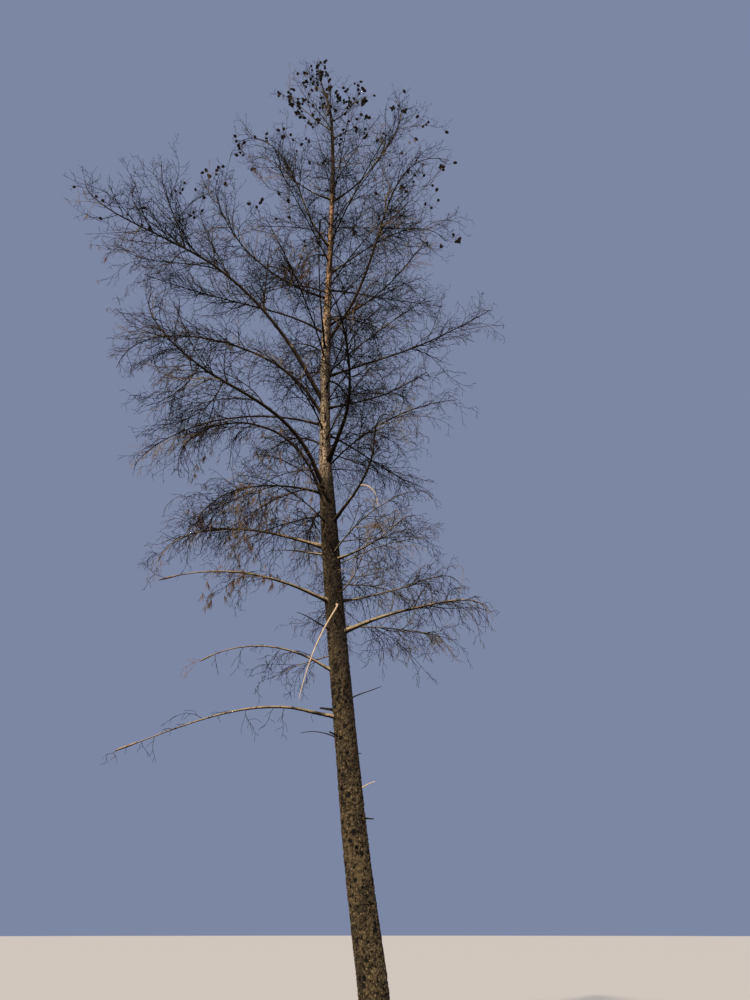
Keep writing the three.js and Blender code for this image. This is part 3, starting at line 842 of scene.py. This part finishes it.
def limbLine(limb):  # even steps along a smooth line through the limb's points, with a collar at its foot
    rows = np.array([list(p) + [r] for p, r in zip(limb["points"], limb["radii"])])
    lengths = np.r_[0, np.cumsum(np.linalg.norm(np.diff(rows[:, :3], axis=0), axis=1))]
    count = max(4, round(lengths[-1] / limbSkin["step"]))
    fine = smoothRows(lengths, rows, np.linspace(0, lengths[-1], count))
    points = [Vector(p[:3]) for p in fine]
    radii = [max(float(p[3]), limbRules["hairTip"]) for p in fine]
    base = trunkAt(points[0].z)[1] if limb["onTrunk"] else 0.0
    for i, point in enumerate(points):
        out = max((point - points[0]).length - base, 0.0)
        radii[i] *= 1 + limbSkin["collar"] * math.exp(-out / limbSkin["collarLength"])
    return {"points": points, "radii": radii, "tint": limb["wood"], "foot": limb["foot"]}


def makeLimbs():
    pieces = {}
    values = {
        "Sides": limbSkin["sides"], "Lump Depth": limbSkin["lumpDepth"],
        "Lumps Per Metre": limbSkin["lumpsPerMetre"],
        "Material 0": limbBark, "Material 1": paleWood, "Material 2": burntWood,
    }
    for side in ("left", "right", "back", "front", "top"):
        lines = [limbLine(limb) for name, limb in limbs.items() if sideOf(name) == side]
        pieces[side] = throughTree(f"limbs_{side}", lineMesh(f"limbs_{side}", lines), skin, values)
    return pieces


limbPieces = makeLimbs()
report("limbs skinned")


# Twigs: a seeded branching rule, which starts from the limbs and fills their masses

growth = {
    "seed": 29,
    # Side branches of a limb, their twigs and the finest twigs, in metres and degrees: a length is its base
    # and a share of what is ahead of it on its parent, and no more than the longest
    "orders": [
        {"spacing": 0.125, "spread": (18, 58), "steps": 11, "sway": 1.25,
         "base": 0.40, "share": 0.75, "longest": 1.9},
        {"spacing": 0.082, "spread": (26, 58), "steps": 5, "sway": 1.25,
         "base": 0.15, "share": 0.45, "longest": 0.75},
        {"spacing": 0.066, "spread": (28, 60), "steps": 3, "sway": 1.0,
         "base": 0.08, "share": 0.34, "longest": 0.28},
    ],
    "lengths": (0.5, 1),  # shares of that length
    "least": 0.5,  # least length, as a share of the base
    "straight": 0.085,  # a twig below this length in metres is one straight piece
    "first": (0.2, 1), "uneven": (0.6, 1.4),  # shares of the spacing: before the first branch and after each
    "last": 0.99,  # share of a line's length past which it has no branch
    "thinning": 1.2,  # how much wider the branches stand towards the tip of their limb
    "turn": (2.4, 0.6),  # radians round the limb from one branch to the next, and how much that varies
    "reach": (1.0, 2.1),  # shares of the room in its mass that a side branch takes
    "topReach": (0.7, 1.15),
    "outside": 0.7,  # share of its length that it keeps where its limb has left the mass
    "flatten": 0.8,  # how far side twigs keep to the level of their limb
    "waves": (3, 7),  # radians that a twig's sway runs through
    "pull": (0.3, 1.7),  # how much the lift varies
    "liftLow": (7.0, -0.6),  # twigs hang below this height and are drawn up above the other
    "liftHigh": (12.3, 0.35),
    # Short twigs on the bare part of a limb: spacing, longest, and the power of the shares of that
    "bareHigh": {"spacing": 0.085, "length": 1.0, "power": 1.0},
    "bareLow": {"spacing": 0.13, "length": 0.55, "power": 2.6},  # mostly stubs
    "bareHighFrom": 7.0,  # height of the limb's foot
    "bareTwigs": {"spread": (30, 70), "shares": (0.15, 1), "uneven": (0.3, 1.7), "radius": 0.005, "end": 0.1},
    "density": {"mass": 2.25, "small": 1.4, "inner": 0.92},
    "crowding": {  # and of one limb
        "left_12_a": 2.2, "left_12_b": 1.3, "left_6": 0.85, "left_8": 0.7, "left_10": 0.8, "left_10_b": 0.7,
        "left_10_c": 0.8, "left_10_e": 0.6, "left_7_a": 1.3, "left_7_b": 1.3, "right_5": 0.7, "right_8": 0.85,
        "right_f": 2.2, "front_d": 0.7, "back_2": 0.65, "back_d": 0.45, "back_f": 0.8, "leader": 0.45,
    },
    "byHeight": ((8.5, 1.1), (11.0, 0.85), (15.0, 0.5)),  # and by the height that a limb's tip reaches
    "onLimb": 0.4,  # twigs straight on a limb, as a share of those on its side branches
    "foot": (0.0023, 0.0075),  # a twig's radius at its foot: least, and more for each metre of length
    "footShare": 0.7,  # and at most this share of its parent's
    "tip": 0.0018,
    "taper": 0.9,
    "bareFoot": 0.1,  # share of a twig's length before its first own twig
    "tints": (0.65, 0.93),  # shares up to which a spray is charred, then brown, then weathered
    "tintsLow": (0.5, 0.85),  # the same below the height at which the flames singed most
    "lowBelow": 6.6,
}


def liftAt(height):
    (low, first), (high, second) = growth["liftLow"], growth["liftHigh"]
    return first + (second - first) * min(max((height - low) / (high - low), 0), 1)


def roomIn(home, point, way):  # how far a mass reaches from a point inside it, or none outside
    if home is None:
        return None
    hit, normal, face, distance = masses[home]["tree"].ray_cast(point, way)
    if hit is None or normal.dot(way) < 0:
        return None
    return distance


def sideWay(way, turn, spread):  # leaves a line sideways: turn goes round it, spread opens from it
    level = way.cross(up)
    if level.length < 0.1:  # the line stands upright
        level = Vector((1, 0, 0))
    level.normalize()
    over = level.cross(way)
    out = level * math.cos(turn) + over * (math.sin(turn) * growth["flatten"])
    return (way * math.cos(spread) + out.normalized() * math.sin(spread)).normalized()


def walk(foot, way, length, steps, sway, dice):  # a twig's line: it sways and is drawn up or down
    points = [foot]
    phase = dice.uniform(0, roundTurn)
    pace = dice.uniform(*growth["waves"])
    across = way.cross(Vector([dice.uniform(-1, 1) for _ in range(3)])).normalized()
    pull = liftAt(foot.z) * dice.uniform(*growth["pull"])
    for i in range(steps):
        t = (i + 1) / steps
        bend = across * (sway * math.sin(phase + pace * t)) + up * (pull * t)
        way = (way + bend * (2 / steps)).normalized()
        points.append(points[-1] + way * (length / steps))
    return points


def twig(foot, way, length, order, limit, tint, dice, out):  # one twig and all that grows on it
    rule = growth["orders"][order]
    least, more = growth["foot"]
    thick = min(max(limit * growth["footShare"], least), least + more * length)
    steps = rule["steps"] if length > growth["straight"] else 1
    points = walk(foot, way, length, steps, rule["sway"], dice)
    radii = [thick + (growth["tip"] - thick) * (i / steps) ** growth["taper"] for i in range(steps + 1)]
    out.append({"points": points, "radii": radii, "tint": tint})
    if order + 1 < len(growth["orders"]):
        sprout(points, radii, order + 1, growth["bareFoot"] * length, None, tint, dice, out)


def sprout(points, radii, order, start, home, tint, dice, out, density=1.0):  # the twigs along a line
    rule = growth["orders"][order]
    total = lengthOf(points)
    spacing = rule["spacing"] / density
    place = start + spacing * dice.uniform(*growth["first"])
    turn = dice.uniform(0, roundTurn)
    step, varies = growth["turn"]
    while place < total * growth["last"]:
        foot, way = alongLine(points, place / total)
        turn += step + dice.uniform(-varies, varies)
        heading = sideWay(way, turn, math.radians(dice.uniform(*rule["spread"])))
        length = min(rule["base"] + rule["share"] * (total - place), rule["longest"])
        length *= dice.uniform(*growth["lengths"])
        room = roomIn(home, foot, heading)
        if room:
            length = min(length, room * dice.uniform(*growth["topReach" if home == "top" else "reach"]))
        elif home:
            length *= growth["outside"]
        length = max(length, rule["base"] * growth["least"])
        index = int(place / total * (len(radii) - 1))
        if order == 0:  # a new spray deals its own tint
            roll = dice.random()
            shares = growth["tintsLow" if foot.z < growth["lowBelow"] else "tints"]
            tint = sum(roll > share for share in shares)
        twig(foot, heading, length, order, radii[index], tint, dice, out)
        crowd = 1 + growth["thinning"] * (place / total) ** 4
        place += spacing * dice.uniform(*growth["uneven"]) * crowd


def growBareTwigs(limb, dice, out):  # short twigs on the bare part of a limb
    high = limb["points"][0].z > growth["bareHighFrom"]
    rule = {**growth["bareTwigs"], **growth["bareHigh" if high else "bareLow"]}
    total = lengthOf(limb["points"])
    place = limb["from"]
    while place < limb["bareTo"] - rule["end"]:
        foot, way = alongLine(limb["points"], place / total)
        turn = dice.uniform(0, roundTurn)
        heading = sideWay(way, turn, math.radians(dice.uniform(*rule["spread"])))
        length = rule["length"] * dice.uniform(*rule["shares"]) ** rule["power"]
        twig(foot, heading, length, 1, rule["radius"], 0, dice, out)
        place += rule["spacing"] * dice.uniform(*rule["uneven"])


def growLimb(limb, dice):
    out = []
    if limb["name"] in brokenLimbs:
        return out
    growBareTwigs(limb, dice, out)
    density = growth["density"]["mass" if limb["home"] else "inner" if "inner" in limb["name"] else "small"]
    density *= growth["crowding"].get(limb["name"], 1.0)
    density *= float(np.interp(limb["points"][-1].z, *zip(*growth["byHeight"])))
    start = max(limb["bareTo"] - growth["bareTwigs"]["end"], 0)
    sprout(limb["points"], limb["radii"], 0, start, limb["home"], 0, dice, out, density)
    sprout(limb["points"], limb["radii"], 1, start, None, 0, dice, out, density * growth["onLimb"])
    return out


regions = {  # the nodes that each joined piece of twigs stands for
    "twigs_lower_left": ["twigs_left_4", "twigs_left_5", "twigs_left_6", "twigs_left_7", "twigs_left_8"],
    "twigs_middle_left": ["twigs_left_9", "twigs_left_11", "twigs_left_12"],
    "twigs_upper_left": ["twigs_left_10", "twigs_left_13", "twigs_left_14", "twigs_left_upper"],
    "twigs_lower_right": [f"twigs_right_{i}" for i in range(1, 8)],
    "twigs_upper_right": [f"twigs_right_{i}" for i in range(8, 14)],
    "twigs_lower_back": ["twigs_back_1"],
    "twigs_upper_back": ["twigs_back_2"],
    "twigs_lower_front": ["twigs_right_5"],
    "twigs_upper_front": ["bough_front_1"],
    "twigs_treetop": ["twigs_top"],
}
upperFrom = 8.1  # height in metres from which a smaller limb's twigs join an upper piece
homes = {  # small limbs that grow in a mass of their own or of another limb
    "left_10_b": "left_upper", "left_10_e": "left_upper",
    "top_a": "top", "top_b": "top", "top_d": "top", "top_e": "top", "top_f": "top", "top_g": "top",
}
for name, home in homes.items():
    limbs[name]["home"] = home
leader = {"low": 12.2, "high": 16.15, "points": 24}  # the stretch of the trunk that carries twigs itself


def regionOf(name):
    for region, members in regions.items():
        if f"twigs_{name}" in members:
            return region
    if sideOf(name) == "top":
        return "twigs_treetop"
    high = limbs[name]["points"][0].z > upperFrom
    return f"twigs_{'upper' if high else 'lower'}_{sideOf(name)}"


def growTwigs():
    lines = {region: [] for region in regions}
    for index, (name, limb) in enumerate(sorted(limbs.items())):
        dice = random.Random(growth["seed"] * 1000 + index)
        lines[regionOf(name)].extend(growLimb(limb, dice))
    rows = [trunkAt(height) for height in np.linspace(leader["low"], leader["high"], leader["points"])]
    points, radii = zip(*rows)
    stem = {"name": "leader", "points": points, "radii": radii, "home": "top", "from": 0.0, "bareTo": 0.0}
    lines["twigs_treetop"].extend(growLimb(stem, random.Random(growth["seed"])))
    return lines


def makeTwigs():
    pieces = {}
    values = {f"Material {i}": material for i, material in enumerate(twigMaterials)}
    for region, lines in twigLines.items():
        pieces[region] = throughTree(region, lineMesh(region, lines), skin, {"Sides": 3, **values})
        triangles = sum(len(p.vertices) - 2 for p in pieces[region].data.polygons)
        print(f"    {region}: {len(lines)} twigs, {triangles} triangles")
    return pieces


twigLines = growTwigs()
twigPieces = makeTwigs()
report("twigs")


# Cones stand in clumps on the nearest twigs, and a few tufts of needles hang on
cones = {
    "seed": 4, "spread": 0.11,  # how far the cones of a clump stand apart, in metres
    "few": 4, "many": 8, "manyAbove": 14.5,  # cones in a clump, and the height above which there are many
    "droop": -0.2,
    "sides": 7, "twist": 0.5,
    "profile": [  # heights and radii in metres: the ends of its scales stand out in rings
        (0, 0.008), (0.01, 0.021), (0.019, 0.017), (0.026, 0.026),
        (0.037, 0.02), (0.042, 0.023), (0.055, 0.011), (0.065, 0.003),
    ],
    "clumps": [
        (-1.45, 0, 15.85), (-1.2, 0, 15.88), (-1.05, 0, 15.91), (-0.92, 0, 15.85), (-1.28, 0, 15.54),
        (-0.97, 0, 15.63), (-0.63, 0, 15.6), (-1.12, 0, 15.24), (-0.75, 0, 15.33), (-0.34, 0.1, 15.33),
        (-1.84, -0.2, 14.87), (-1.73, -0.2, 14.53), (-1.42, 0, 14.71), (-0.6, 0, 14.91),
        (-0.08, 0.1, 15.03), (0.09, 0.1, 14.91), (0.4, 0.1, 14.97), (0.72, 0.1, 14.42),
        (-2.37, -0.4, 13.27), (-1.99, -0.4, 13.37), (-2.43, -0.4, 12.84), (-2.22, -0.4, 12.49),
        (-1.99, -0.4, 12.03), (-1.58, -0.3, 11.78), (-1.55, -0.2, 13.75), (-1.3, 0, 13.62),
        (-0.5, 0, 14.25), (-0.37, 0, 13.98), (1.0, 0.2, 13.95), (1.19, 0.2, 13.81), (1.08, 0.2, 13.38),
        (0.46, 0.2, 13.12), (0.11, 0.2, 12.76), (0.96, 0.2, 12.56), (1.48, 0.4, 11.96),
        (0.94, 0.3, 11.64), (0.62, 0.2, 12.68), (-2.97, -0.7, 12.13), (-3.05, -0.7, 11.6),
        (-2.88, -0.7, 11.33), (-2.59, -0.5, 12.39), (-4.38, -1, 11.13), (-3.67, -0.9, 10.78),
        (-0.69, 0, 14.94), (-1.18, 0, 14.85), (-0.94, 0, 14.74), (-1.47, 0, 14.79), (-0.48, 0, 14.25),
        (-0.28, 0, 14.42), (-0.8, 0, 14.03), (-1.31, 0, 13.98), (-0.15, 0.1, 14.14),
        (-1.63, -0.1, 13.92), (1.47, 0.4, 11.74), (-0.9, 0.9, 14.2), (-0.5, 1.3, 13.1),
        (-1.1, -0.7, 13.6), (-0.7, 1.6, 11.9), (-1.3, 1.2, 12.6), (-2.68, -0.3, 12.64),
        (-1.62, -0.2, 14.2),
    ],
}
needles = {
    "seed": 6, "inTuft": 12, "length": 0.12, "lengths": (0.7, 1.1), "thick": 0.0020, "foot": 0.004,  # metres
    "open": 0.35,  # how wide a tuft opens
    "droop": -3.0,
    "tufts": [  # place, how many, and how far round it in metres
        ((-1.31, -0.3, 10.45), 110, (0.13, 0.14, 0.2)), ((-1.55, -0.5, 7.03), 26, (0.1, 0.08, 0.16)),
        ((-1.69, -0.5, 6.21), 24, (0.1, 0.08, 0.14)), ((-1.65, -0.3, 5.9), 16, (0.2, 0.1, 0.1)),
        ((-2.25, -0.3, 6.2), 26, (0.09, 0.08, 0.12)), ((-1.95, 0.3, 6.1), 36, (0.08, 0.1, 0.14)),
        ((-1.5, 0.2, 6.43), 36, (0.26, 0.1, 0.05)), ((-1.86, -0.4, 5.28), 26, (0.1, 0.1, 0.12)),
        ((-2.1, -0.4, 5.05), 12, (0.06, 0.06, 0.12)), ((-2.3, -0.3, 6.85), 12, (0.12, 0.1, 0.08)),
        ((-4.2, -1.0, 10.0), 8, (0.12, 0.1, 0.3)), ((-1.45, 0, 15.8), 8, (0.1, 0.1, 0.1)),
        ((-1.85, -0.2, 14.7), 10, (0.15, 0.1, 0.15)), ((0.9, 0.2, 13.6), 8, (0.2, 0.1, 0.15)),
        ((-0.9, 0, 15.2), 8, (0.3, 0.1, 0.2)),
        ((-2.17, -0.4, 12.64), 14, (0.12, 0.1, 0.12)), ((-1.34, 0, 14.68), 12, (0.1, 0.1, 0.12)),
        ((0.16, 0.2, 12.78), 12, (0.1, 0.1, 0.1)), ((0.6, 0.2, 13.67), 14, (0.12, 0.1, 0.12)),
        ((-0.6, 0.8, 11.6), 14, (0.2, 0.2, 0.2)), ((-1.9, -0.3, 8.9), 8, (0.15, 0.15, 0.15)),
        ((-1.46, -0.3, 5.35), 22, (0.16, 0.1, 0.08)), ((-1.25, -0.3, 6.35), 20, (0.2, 0.12, 0.06)),
        ((-1.71, -0.3, 5.8), 18, (0.1, 0.1, 0.12)),
    ],
}


def twigPlaces():  # every corner of every twig, to find the nearest
    corners = [point for lines in twigLines.values() for line in lines for point in line["points"]]
    tree = KDTree(len(corners))
    for index, point in enumerate(corners):
        tree.insert(point, index)
    tree.balance()
    return tree


def strewn(tree, middle, reach, count, pull, dice):  # points on the twigs round a place: place, way and size
    rows = []
    for _ in range(count):
        want = Vector(middle) + Vector([dice.gauss(0, 1) * r for r in reach])
        spot = tree.find(want)[0]
        way = Vector([dice.uniform(-1, 1) for _ in range(3)]) + up * pull
        rows.append((spot, way.normalized(), 1.0))
    return rows


def makeCones(tree):
    dice = random.Random(cones["seed"])
    shape = turnedShape("cone", cones["sides"], cones["profile"], cones["twist"])
    rows = []
    for middle in cones["clumps"]:
        count = cones["many" if middle[2] > cones["manyAbove"] else "few"]
        rows += strewn(tree, middle, (cones["spread"],) * 3, count, cones["droop"], dice)
    return scattered("old_cones", shape, rows, {"Seed": cones["seed"], "Material 0": coneMaterial})


def makeNeedles(tree):
    dice = random.Random(needles["seed"])
    thirdTurn = 2.094  # radians
    points = []
    faces = []
    for _ in range(needles["inTuft"]):  # each needle is a closed spike with three sides
        aside = [dice.uniform(-1, 1) * needles["open"] for _ in range(2)]
        way = Vector((*aside, 1)).normalized()
        side = way.cross(Vector((1, 0, 0))).normalized()
        base = len(points)
        for turn in range(3):
            points.append(Quaternion(way, turn * thirdTurn) @ side * needles["thick"] + way * needles["foot"])
        points.append(way * needles["length"] * dice.uniform(*needles["lengths"]))
        faces += [(base + 2, base + 1, base)]
        faces += [(base + i, base + (i + 1) % 3, base + 3) for i in range(3)]
    shape = bpy.data.meshes.new("tuft")
    shape.from_pydata(points, [], faces)
    rows = []
    for middle, count, reach in needles["tufts"]:
        rows += strewn(tree, middle, reach, count, needles["droop"], dice)
    return scattered("needle_tufts", shape, rows, {"Seed": needles["seed"], "Material 0": needleMaterial})


places = twigPlaces()
conePiece = makeCones(places)
needlePiece = makeNeedles(places)
report("cones and needles")


# The floor, the light and the camera

stage = {
    "floor": "#c4c0b7", "radius": 250, "corners": 96, "roughness": 0.9,
    "air": "#7c87a4", "airStrength": 1.0,
    "sun": "#fff0dc", "sunStrength": 4.6,
    "sunWidth": 2, "sunTurn": (48, 0, -24),  # degrees: from above and behind the camera
}
camera = {"lens": 28, "sensor": 36, "place": (-0.10, -9.0, 1.6), "tilt": 28.9}  # eye height, tilted up


def makeFloor():
    mesh = bpy.data.meshes.new("floor")
    turns = [i * 2 * math.pi / stage["corners"] for i in range(stage["corners"])]
    rim = [(stage["radius"] * math.cos(t), stage["radius"] * math.sin(t), 0) for t in turns]
    mesh.from_pydata(rim, [], [tuple(range(stage["corners"]))])
    material, tree = newMaterial("plain_floor")
    finishMaterial(tree, linear(stage["floor"]), stage["roughness"])
    mesh.materials.append(material)
    linked("floor", mesh)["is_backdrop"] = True


def makeLight():
    world = bpy.data.worlds.new("studio_air")
    world.use_nodes = True
    background = world.node_tree.nodes["Background"].inputs
    background["Color"].default_value = linear(stage["air"])
    background["Strength"].default_value = stage["airStrength"]
    bpy.context.scene.world = world
    lamp = bpy.data.lights.new("key", "SUN")
    lamp.energy = stage["sunStrength"]
    lamp.angle = math.radians(stage["sunWidth"])
    lamp.color = linear(stage["sun"])[:3]
    key = linked("key", lamp)
    key.rotation_euler = [math.radians(turn) for turn in stage["sunTurn"]]
    bpy.context.scene.view_settings.view_transform = "Standard"


def makeCamera():
    data = bpy.data.cameras.new("camera")
    data.lens = camera["lens"]
    data.sensor_width = camera["sensor"]
    data.clip_end = 400  # metres, to see the floor's edge
    eye = linked("camera", data)
    eye.location = camera["place"]
    eye.rotation_euler = (math.radians(90 + camera["tilt"]), 0, 0)
    bpy.context.scene.camera = eye


makeFloor()
makeLight()
makeCamera()
report("stage")


# What each piece rides on and stands for

for piece in trunk:
    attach(piece, "root")
    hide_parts("trunk")
for side, piece in limbPieces.items():
    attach(piece, "root")
    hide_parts(*[f"bough_{n}" for n in limbNames if sideOf(n) == side])
for region, piece in twigPieces.items():
    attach(piece, "root")
    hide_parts(*regions[region])
for piece in (conePiece, needlePiece):
    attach(piece, "root")
    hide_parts("twigs_top")

low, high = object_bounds()
report(f"visual box {[round(v, 2) for v in low]} to {[round(v, 2) for v in high]}")
